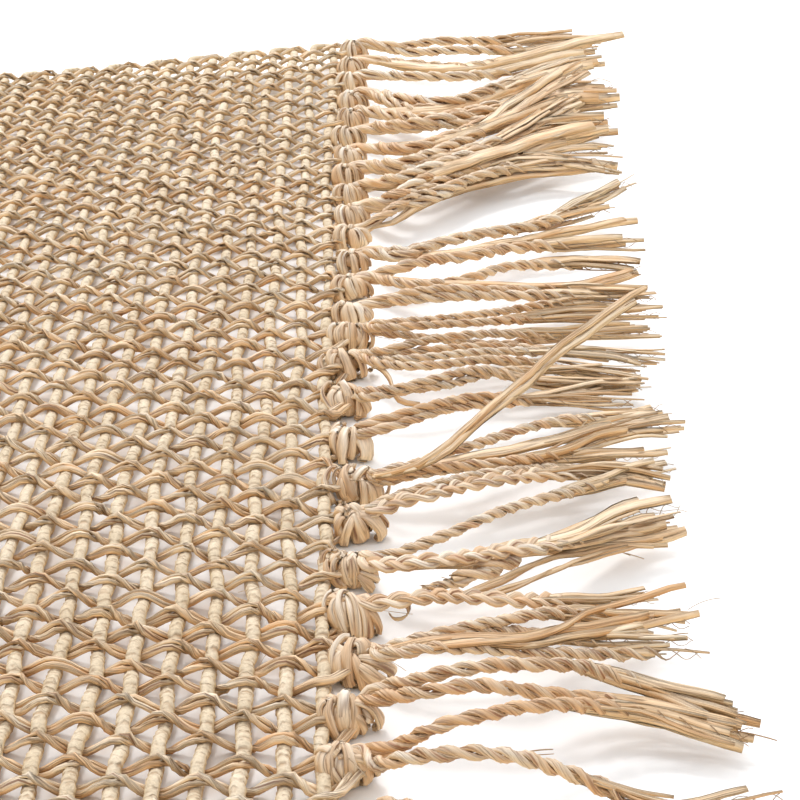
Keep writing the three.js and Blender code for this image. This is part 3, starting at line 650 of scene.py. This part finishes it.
# ---- the twisted strands --------------------------------------------------------------
def strand_group(skein, which, close, steps_close, steps, sides, folds):
    """Rows of two twisted plies. close is how many cords from the right edge are fine."""
    w = which - ROW_FAR
    t = np.concatenate(
        [
            np.arange(0, close * steps_close) / steps_close,
            close + np.arange(0, (CORDS - 1 - close) * steps + 1) / steps,
        ]
    )[::-1]
    n = len(which)
    past = np.array([0.8, 1.6, 2.4, 3.2, 4.0])
    X = HALF_X - t * CORD_PITCH
    row_y = -(which - ROW_MID) * ROW_PITCH
    Z = MIDDLE + at_crossings(t, arch[w])
    shift = rng.normal(0, 0.13, (n, CORDS))
    Y = row_y[:, None] + at_crossings(t, shift) + wander(n, X, [(70, 0.28), (27, 0.2), (10.5, 0.1)])
    P = np.stack([np.broadcast_to(X, Y.shape), Y, Z], -1)
    P = place(P)
    # the ends gather towards their knots
    gather = ramp(0.2, 4.6, past)[None, :, None]
    for side in (1, -1):
        end = P[:, -1:] if side > 0 else P[:, :1]
        to = np.array([centres[(r - ROW_FAR) // 3, side] for r in which])[:, None] + [0, 0.3, -0.2]
        spare = end + (rng.normal(0, 0.35, (n, 1, 3)) * [0, 1, 0.4]) * gather
        e = spare + (to - spare) * gather * 0.85
        e[..., 0] = end[..., 0] + side * past
        P = np.concatenate([P, e], 1) if side > 0 else np.concatenate([e[:, ::-1], P], 1)
    X = np.concatenate([-HALF_X - past[::-1], X, HALF_X + past])

    # One half turn on each visible arch, a little past its top, and some more underneath.
    turn = rng.uniform(-0.25, 0.25, (n, 1)) + wander(n, X, [(15, 0.22), (6.5, 0.12)])
    turn = turn + PI * rng.integers(0, 2, (n, 1))
    centre = HALF_X - cords * CORD_PITCH
    top = over[w] > 0
    late = CORD_PITCH * np.where(top, rng.uniform(0.0, 0.42, top.shape), rng.uniform(-0.2, 0.3, top.shape))
    wide = rng.uniform(2.4, 5.0, top.shape)
    turns = np.where(top, rng.random(top.shape) < 0.93, rng.random(top.shape) < 0.45)
    for c in range(CORDS):
        s = ramp(-0.5, 0.5, (X[None, :] - centre[c] - late[:, c : c + 1]) / wide[:, c : c + 1])
        turn = turn + PI * s * turns[:, c : c + 1]

    T = unit(np.gradient(P, axis=1))
    B = unit(np.cross(np.array([0.0, 0.0, 1.0]), T))
    W = np.cross(T, B)
    tt = np.clip((HALF_X - X) / CORD_PITCH, 0, CORDS - 1)
    height = at_crossings(tt, over[w])
    P = P + W * (0.2 * np.abs(np.sin(turn)) * height)[..., None]
    size = 1 + rng.normal(0, 0.07, (n, 1)) + wander(n, X, [(23, 0.05), (7.7, 0.05)])
    for k in (0, 1):
        a = turn + k * PI
        gap = PLY_APART * size * (1 + wander(n, X, [(12, 0.08)]))
        Q = P + B * (gap * np.cos(a))[..., None] + W * (gap * np.sin(a))[..., None]
        r = size * (1 + wander(n, X, [(31, 0.06), (9, 0.06)]))
        tone = 0.5 + rng.normal(0, 0.13, (n, 1)) + wander(n, X, [(50, 0.07), (14, 0.09)])
        Q[..., 2] = np.maximum(Q[..., 2], PLY_WIDE * r + 0.02)
        if folds:  # the part by the right edge has its folds modelled
            cut = len(X) - close * steps_close - len(past)
            for part, sd, fd in ((np.s_[:, : cut + 1], 5, 0), (np.s_[:, cut:], 9, folds)):
                skein.tubes(
                    Q[part], PLY_TALL * r[part], PLY_WIDE * r[part], turn=a[part], tone=tone[part],
                    sides=sd, lobes=0.1 if not fd else 0.05, folds=fd, seam=True,
                )
        else:
            skein.tubes(
                Q, PLY_TALL * r, PLY_WIDE * r, turn=a, tone=tone, sides=sides, lobes=0.1, seam=True
            )


# ---- knots, ropes and frayed ends -------------------------------------------------------
def knot_centre(n, side):
    drawn = [(np.array(p) + q) / 2 for m, p, q, _ in FOLDS if m == n] if side > 0 else []
    if drawn:
        return np.mean(drawn, 0) + [-0.1, 0.9, -0.4]
    p = place(np.array([side * (HALF_X + KNOT_PAST), (39 - 3 * n) * ROW_PITCH, 2.3]))
    return p + rng.normal(0, [0.25, 0.3, 0.08])


def petal(skein, centre, a, b, wide, steps, sides, tone):
    """One fold of a knot, out of its middle at a, over, and in again at b."""
    a, b = np.array(a, float), np.array(b, float)
    along = unit(b - a)
    out = (a + b) / 2 - centre + [0, 0, 0.5]
    out = unit(out - along * np.dot(out, along))
    far = np.linalg.norm(b - a)
    p = [
        a - out * 1.3 - along * 0.1,
        a,
        (a + b) / 2 + out * 0.2 * far - along * 0.1 * far,
        b + out * 0.03 * far,
        b - out * 1.1 + along * 0.05,
    ]
    P, _ = line(p, 0.1)
    P = P[np.linspace(0, len(P) - 1, steps).round().astype(int)]
    s = np.linspace(0, 1, steps)
    w = wide / 2 * (0.6 + 0.4 * ramp(0.1, 0.55, s)) * (1 - 0.3 * ramp(0.85, 1.0, s))
    w = w * (1 + wander(1, s * 6, [(3.1, 0.05)])[0])
    t = np.minimum(0.56 * w, 0.46) * rng.uniform(0.8, 1.1)
    cut = 0
    if sides > 5:  # most blades are folded once, a few twice
        cut = 2 if rng.random() < 0.75 else 3
    P[:, 2] = np.maximum(P[:, 2], t + 0.04)
    skein.tubes(
        P[None], w[None], t[None], turn=rng.normal(0, 0.25) + 0.2 * np.sin(5 * s + rng.uniform(0, 6))[None],
        tone=tone, sides=sides, up=out, lobes=0.07, folds=cut,
    )


def knot(skein, n, side, centre, steps, sides):
    """Folds fanned out from the top of the knot, over a core that fills it."""
    drawn = [f[1:] for f in FOLDS if f[0] == n] if side > 0 else []
    tone = lambda: 0.52 + rng.normal(0, 0.1)
    for a, b, wide in drawn:
        petal(skein, centre, a, b, wide * 1.5, steps, sides, tone())
    places = []
    many = int(rng.integers(5, 8)) if not drawn else 4
    places += [(i / (many - 1), -1) for i in range(many)]
    many = 4 if side > 0 and n > 11 else 3
    places += [((i + 0.5) / many, 1) for i in range(many)]
    for f, way in places:
        x = -2.3 + 3.9 * f + rng.normal(0, 0.18)
        lean = math.radians(-12 + 88 * f**1.4 + rng.normal(0, 7))
        top = rng.uniform(1.5, 2.3) - 0.5 * f * f
        a = centre + [side * x, -way * -0.1 + rng.normal(0, 0.2), top]
        b = centre + [
            side * (0.85 * x + 1.9 * math.sin(lean)),
            way * (0.5 + 1.9 * math.cos(lean)) * rng.uniform(0.9, 1.1),
            0.7 - centre[2] + 0.9 * f * f + rng.uniform(0, 0.5),
        ]
        if drawn and way < 0:  # filling behind the drawn folds
            a, b = centre + (a - centre) * 0.82, centre + (b - centre) * 0.82
        petal(skein, centre, a, b, rng.uniform(1.5, 2.6), steps, sides, tone())
    # the core has a dark tone, painted shade in the gaps between the folds
    s = np.linspace(-1, 1, 9)
    P = centre + np.stack([side * s * 2.5, 0 * s, -0.2 + 0 * s], -1)
    r = 1.6 * np.sqrt(np.maximum(1 - s**2, 0.03))
    skein.tubes(P[None], r[None], r[None] * 0.95, tone=0.1, sides=8)


def line(points, step):
    """A smooth line through the points, in steps of about that length."""
    p = np.asarray(points, float)
    p = np.vstack([2 * p[0] - p[1], p, 2 * p[-1] - p[-2]])
    out = []
    for i in range(1, len(p) - 2):
        a, b, c, d = p[i - 1 : i + 3]
        m = 24
        t = np.linspace(0, 1, m, endpoint=False)[:, None]
        out.append(
            0.5
            * (
                2 * b
                + (c - a) * t
                + (2 * a - 5 * b + 4 * c - d) * t**2
                + (3 * b - a - 3 * c + d) * t**3
            )
        )
    out = np.vstack(out + [p[-2:-1]])
    s = np.concatenate([[0], np.cumsum(np.linalg.norm(np.diff(out, axis=0), axis=1))])
    m = max(6, int(round(s[-1] / step)) + 1)
    to = np.linspace(0, s[-1], m)
    return np.stack([np.interp(to, s, out[:, k]) for k in range(3)], -1), s[-1]


def frame_of(P):
    T = unit(np.gradient(P, axis=0))
    B = unit(np.cross([0.0, 0.0, 1.0], T))
    return T, B, np.cross(T, B)


def keep_up(P, r):
    """Nothing sinks into the table."""
    P = P.copy()
    low = r + 0.05
    P[..., 2] = np.where(P[..., 2] < low, low + 0.12 * (P[..., 2] - low) * 0, P[..., 2])
    return P


def blade(skein, P, wide, thick, tone, sides=4, twist=None, blunt=0.55):
    m = len(P)
    s = np.linspace(0, 1, m)
    w = wide / 2 * (0.45 + 0.55 * ramp(0, 0.25, s)) * (1 - blunt * ramp(0.93, 1.0, s))
    if twist is None:
        twist = rng.uniform(-0.7, 0.7) + rng.uniform(-1.3, 1.3) * s
    skein.tubes(
        keep_up(P, thick / 2 + 0.02)[None], w[None], np.full((1, m), thick / 2), turn=twist[None],
        tone=tone, sides=sides,
    )
    skein.dent[-1] = skein.dent[-1] - 1.0  # marks a loose dry blade for the material


def rope(skein, points, kind, thick, fray, blades, spread, fine, tone0):
    step = 0.62 if fine else 0.9
    P, length = line(points, step)
    P = keep_up(P, 0.5 * thick)
    m = len(P)
    s = np.linspace(0, 1, m)
    T, B, W = frame_of(P)
    if kind > 1:
        rate = 0.35 + 0.65 * ramp(0.03, 0.2, s)
        pitch = ((4.4 if kind == 2 else 5.2) if fine else 5.4) * thick
        phase = np.cumsum(rate) * (length / (m - 1)) * 2 * PI / pitch
        phase = phase + rng.uniform(0, 2 * PI) + wander(1, s * length, [(13, 0.35)])[0]
        body = (1 + 0.18 * (1 - ramp(0.1, 0.25, s))) * (1 - 0.9 * ramp(fray, min(1.0, fray + 0.16), s))
        open_ = 1 + 0.6 * ramp(fray - 0.12, fray + 0.1, s)
        if kind == 2:
            for k in (0, 1):
                a = phase + k * PI
                gap = 0.34 * thick * open_ * (1 + 0.08 * rng.normal())
                Q = P + B * (gap * np.cos(a))[:, None] + W * (gap * np.sin(a))[:, None]
                r = thick * body * (1 + wander(1, s * length, [(11, 0.07), (4, 0.05)])[0])
                skein.tubes(
                    Q[None], (0.35 * r)[None], (0.44 * r)[None], turn=a[None],
                    tone=tone0 + rng.normal(0, 0.12) + wander(1, s * length, [(17, 0.08)]),
                    sides=5, lobes=0.06, folds=3 if fine else 0, seam=True,
                )
        else:
            for k in (0, 1, 2):
                a = phase + k * 2 * PI / 3
                Q = (
                    P
                    + B * (0.58 * thick * open_ * np.sin(a))[:, None]
                    + W * (0.27 * thick * np.sin(2 * a))[:, None]
                )
                r = thick * body * (1 + wander(1, s * length, [(11, 0.07), (4, 0.05)])[0])
                skein.tubes(
                    Q[None], (0.4 * r)[None], (0.3 * r)[None], turn=(0.5 * np.cos(a))[None],
                    tone=tone0 + rng.normal(0, 0.12) + wander(1, s * length, [(17, 0.08)]),
                    sides=5, lobes=0.06, folds=3 if fine else 0,
                )
    # the blades of the frayed end, or all of them if it was never twisted
    start = max(0.0, fray - 0.1) if kind > 1 else 0.0
    segments = 13 if fine else 9
    if kind > 1:
        blades = int(round(blades * (1.7 if fine else 1.5)))
    places = (np.arange(blades) + 0.5) / blades - 0.5
    rng.shuffle(places)
    for k in range(blades):
        last = 1.0 + rng.choice([rng.uniform(-0.05, 0.03), rng.uniform(-0.2, 0.0)]) if blades > 1 else 1.0
        if kind == 1 and blades < 3:
            last = 1.0 - 0.04 * k
        f = np.linspace(start, last, segments if kind > 1 else int(segments * 1.8))
        Q = np.stack([np.interp(f, s, P[:, i]) for i in range(3)], -1)
        if last > 1:
            Q = Q + T[-1] * (np.maximum(f - 1, 0) * length)[:, None]
        g = np.clip((f - start) / (1 - start), 0, 1.2)
        b = np.stack([np.interp(f, s, B[:, i]) for i in range(3)], -1)
        side_way = spread * (places[k] + rng.normal(0, 0.14)) * g**1.1
        up_way = thick * rng.uniform(-0.6, 0.7) * np.minimum(1, 2 * g) + spread * rng.uniform(-0.2, 0.28) * g
        Q = Q + b * (side_way + wander(1, f * length, [(19, 0.2), (8, 0.07)])[0] * np.minimum(1, 3 * g))[:, None]
        Q[:, 2] += up_way + wander(1, f * length, [(16, 0.14)])[0] * np.minimum(1, 3 * g)
        if kind > 1:
            wide = thick * rng.choice([rng.uniform(0.3, 0.6), rng.uniform(0.6, 1.15)])
            blade(skein, Q, wide, rng.uniform(0.15, 0.25), tone0 + 0.1 + rng.normal(0, 0.15), blunt=0.15,
                  twist=rng.uniform(0.1, 1.3) + rng.uniform(-0.6, 0.6) * np.linspace(0, 1, len(Q)))
        else:
            wide = thick * rng.uniform(0.8, 1.4)
            blade(skein, Q, wide, rng.uniform(0.22, 0.36), tone0 + 0.05 + rng.normal(0, 0.12), blunt=0.15,
                  twist=rng.uniform(0.4, 1.2) + rng.uniform(-0.4, 0.4) * np.linspace(0, 1, len(Q)))
    # whiskers
    for k in range((int(rng.integers(1, 4)) if fine else int(rng.integers(0, 2))) * (length > 20)):
        at = rng.uniform(0.45, 0.98)
        p = np.array([np.interp(at, s, P[:, i]) for i in range(3)])
        i = min(m - 1, int(at * (m - 1)))
        reach = rng.uniform(2.5, 6)
        q = np.linspace(0, 1, 7)[:, None]
        away = T[i] + B[i] * rng.uniform(-0.5, 0.5) + np.array([0, 0, rng.uniform(-0.1, 0.45)])
        Q = p + away * reach * q + (B[i] * rng.uniform(-1.5, 1.5) + np.array([0, 0, -0.8])) * q**2
        blade(skein, Q, rng.uniform(0.13, 0.24), 0.1, tone0 + rng.normal(0, 0.1), sides=3, blunt=0.2)


# ---- making it all ----------------------------------------------------------------------
cord_skein = Skein()
cord_group(cord_skein, cords[:9], 5, 2, 9, 0.02, True)
cord_group(cord_skein, cords[9:21], 2, 2, 7)
cord_group(cord_skein, cords[21:], 2, 2, 5)
rush_cords = cord_skein.made("rush_cords", cord_rush, "woven_grass")

centres = {(n, side): knot_centre(n, side) for n in range(KNOTS) for side in (1, -1)}

for name, first, last, close in (
    ("strands_near", 3, 23, 14),
    ("strands_middle", -18, 2, 16),
    ("strands_back", -38, -19, 18),
    ("strands_far", -57, -39, 21),
):
    skein = Skein()
    front = first > -30
    strand_group(skein, np.arange(first, last + 1), close, 5 if front else 4, 3, 5, 3 if front else 0)
    skein.made(name, weave_grass, "woven_grass")

knots_right, knots_left = Skein(), Skein()
for n in range(KNOTS):
    knot(knots_right, n, 1, centres[n, 1], 15 if n > 11 else 11, 8 if n > 11 else 6)
    knot(knots_left, n, -1, centres[n, -1], 9, 5)
knots_right = knots_right.made("knots_right", knot_grass, "fringe_grass")
knots_left = knots_left.made("knots_left", knot_grass, "fringe_grass")

tails_right = Skein()
BROWNER = {(23, 0.60): 0.3, (22, 0.0): 0.14, (17, 0.55): 0.1}  # by knot and where it frays
for n, kind, thick, fray, blades, spread, points in RIGHT:
    c = centres[n, 1]
    near = n > 13
    root = [c + [0.3, 0.4, 0.5], c + [1.9, 0.5, 1.3]] if near else [c + [0.4, 0.5, 0.8], c + [2.9, 0.7, 1.5]]
    points = points if near else points[1:]
    lean = 0.45 if n < 11 else 0.52
    stout = 1.12 if near else 1.45 if n > 9 else 1.7
    rope(tails_right, root + [np.array(p) for p in points], kind, thick * stout, fray, blades,
         spread * 1.4, n > 11, lean + rng.normal(0, 0.07) - BROWNER.get((n, fray), 0.0))
# the last knot's ropes
for k in range(2):
    c = centres[26, 1]
    d = rng.uniform(-2.5, 1.0)
    rope(tails_right, [c + [0.8, 0, 0.1], c + [2.4, 0, 0.4], c + [12, d, 4.5], c + [26, d * 1.5, 4.0],
         c + [42 + 3 * k, d * 2.4, 1.6]], 2, 1.15, 0.7, 5, 2.6, False, 0.5)
tails_right = tails_right.made("tails_right", fringe_grass, "fringe_grass")

# fine hairs that have come loose near the knots and on the weave
loose = Skein()
for k in range(46):
    if k < 22:
        start = centres[14 + k // 2, 1] + [rng.uniform(-2, 2), rng.uniform(-2, 2), rng.uniform(0.5, 1.6)]
        way = rng.uniform(-2.4, 0.4)
    else:
        start = place(np.array([rng.uniform(90, 178), rng.uniform(-162, 20), rng.uniform(2.4, 3.1)]))
        way = rng.uniform(0, 2 * PI)
    q = np.linspace(0, 1, 8)[:, None]
    reach, bend = rng.uniform(2.5, 8.0), rng.normal(0, 2.2)
    d = np.array([math.cos(way), math.sin(way), rng.uniform(0.05, 0.5)])
    side = np.array([-d[1], d[0], 0.0])
    Q = start + d * reach * q + (side * bend + [0, 0, -1.2]) * q**2
    blade(loose, Q, rng.uniform(0.1, 0.17), 0.08, 0.6, sides=3, blunt=0.2)
for points, thick in SHORT_ENDS:
    rope(loose, points, 2, thick, 0.72, 3, 0.9, True, 0.56)
loose = loose.made("loose_hairs", fringe_grass, "fringe_grass")

tails_left = Skein()
for n in range(KNOTS):
    c = centres[n, -1]
    reach = 52 + 3 * math.sin(1.7 * n + 0.4) + 1.5 * math.sin(0.6 * n)
    lean = 5 * math.sin(0.9 * n + 1.1) + 3 * math.sin(2.3 * n)
    high = 4.2 + 0.9 * math.sin(1.3 * n + 2.0)
    for k in range(2):
        apart = (k - 0.5) * rng.uniform(1.6, 3.6)
        r = reach - KNOT_PAST - rng.uniform(0, 5)
        bow = rng.normal(0, 1.2)
        rope(
            tails_left,
            [
                c + [-0.8, 0, 0.1],
                c + [-2.4, 0, 0.4],
                c + [-0.3 * r, 0.2 * lean + apart * 0.6 + bow, high - 1.0],
                c + [-0.62 * r, 0.55 * lean + apart + bow, high - 2.4 + rng.uniform(-0.4, 0.4)],
                c + [-r, lean + apart * 1.2, -0.9 + rng.uniform(0, 1.6)],
            ],
            2, 1.1, rng.uniform(0.6, 0.78), 4, rng.uniform(2.0, 3.4), False, 0.48,
        )
tails_left = tails_left.made("tails_left", fringe_grass, "fringe_grass")

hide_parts("woven_panel")
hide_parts("fringe_right")
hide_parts("fringe_left")

# ---- table, light and camera --------------------------------------------------------------
bpy.ops.mesh.primitive_plane_add(size=30.0, location=(0, 0, 0))
floor = bpy.context.object
floor.name = "table_top"
g = Graph("table_white")
coords = g.nodes.new("ShaderNodeTexCoord")
cloud = g.remap(g.noise(coords.outputs["Object"], 9.0, 2.0), 0.3, 0.7, 0.97, 1.0)
white = g.blend(1.0, srgb(249, 251, 254), g.vector(cloud, cloud, cloud), "MULTIPLY")
# painted shade: under the mat the table is darkened unevenly, standing for the shadow of the grass, with lighter
# patches where light came through it
at = g.nodes.new("ShaderNodeSeparateXYZ")
g.links.new(coords.outputs["Object"], at.inputs[0])
side = g.math("DIVIDE", at.outputs[0], 0.18)
drawn_in = g.math("MULTIPLY", g.math("SUBTRACT", 1.0, g.math("MULTIPLY", side, side)), 0.022)
out_y = g.math("MAXIMUM", g.math("ADD", at.outputs[1], drawn_in), g.math("MULTIPLY", at.outputs[1], -1.0))
under = g.math(
    "MULTIPLY",
    g.remap(g.math("ABSOLUTE", at.outputs[0]), 0.172, 0.184, 1.0, 0.0),
    g.remap(out_y, 0.146, 0.158, 1.0, 0.0),
)
# uneven painted shade, lighter where light comes through the grass
shade_patches = g.remap(g.noise(coords.outputs["Object"], 130.0, 2.0), 0.36, 0.6, 0.5, 0.12)
# the brown colour here is the painted shade under the mat
floor.data.materials.append(
    g.finish(
        g.blend(g.math("MULTIPLY", under, shade_patches), white, srgb(190, 168, 146)),
        g.noise(coords.outputs["Object"], 40.0, 2.0), 0.7, 0.02, 0.1, 0.15,
    )
)

world = bpy.data.worlds.new("studio")
bpy.context.scene.world = world
world.use_nodes = True
background = world.node_tree.nodes["Background"]
background.inputs[0].default_value = (1.0, 0.989, 0.973, 1.0)
# a bright wall of light behind and above, dimmer behind the viewer
where = world.node_tree.nodes.new("ShaderNodeTexCoord")
towards = world.node_tree.nodes.new("ShaderNodeVectorMath")
towards.operation = "DOT_PRODUCT"
towards.inputs[1].default_value = (-0.2, 0.62, 0.76)
world.node_tree.links.new(where.outputs["Generated"], towards.inputs[0])
glow = world.node_tree.nodes.new("ShaderNodeMapRange")
glow.interpolation_type = "SMOOTHSTEP"
for i, v in zip((1, 2, 3, 4), (-0.3, 1.0, 1.0, 1.19)):
    glow.inputs[i].default_value = v
world.node_tree.links.new(towards.outputs["Value"], glow.inputs[0])
world.node_tree.links.new(glow.outputs[0], background.inputs[1])

sun = bpy.data.lights.new("window", "SUN")
sun.energy = 1.06
sun.angle = math.radians(13)
sun.color = (1.0, 1.0, 1.0)
sun_object = bpy.data.objects.new("window", sun)
bpy.context.scene.collection.objects.link(sun_object)
sun_object.rotation_euler = Vector((0.18, -0.68, -1.0)).to_track_quat("-Z", "Y").to_euler()

panel = bpy.data.lights.new("back_panel", "AREA")
panel.energy = 1.7
panel.size = 0.45
panel_object = bpy.data.objects.new("back_panel", panel)
bpy.context.scene.collection.objects.link(panel_object)
panel_object.location = (0.08, 0.52, 0.4)
panel_object.rotation_euler = Vector((0.02, -0.36, -0.4)).to_track_quat("-Z", "Y").to_euler()

view = bpy.context.scene.view_settings
view.view_transform = "Standard"
view.look = "None"
view.exposure = 0.0

camera = bpy.data.cameras.new("camera")
camera.sensor_width = 36.0
camera.lens = 90.0
camera.clip_start = 0.01
camera.clip_end = 20.0
camera.dof.use_dof = False
camera_object = bpy.data.objects.new("camera", camera)
bpy.context.scene.collection.objects.link(camera_object)
camera_object.matrix_world = (
    Matrix.Translation(Vector((182.09, -322.03, 138.15)) * MM)
    @ Matrix.Rotation(-0.0350393, 4, "Z")
    @ Matrix.Rotation(PI / 2 - 0.442720935, 4, "X")
    @ Matrix.Rotation(0.0024514, 4, "Z")
)
bpy.context.scene.camera = camera_object
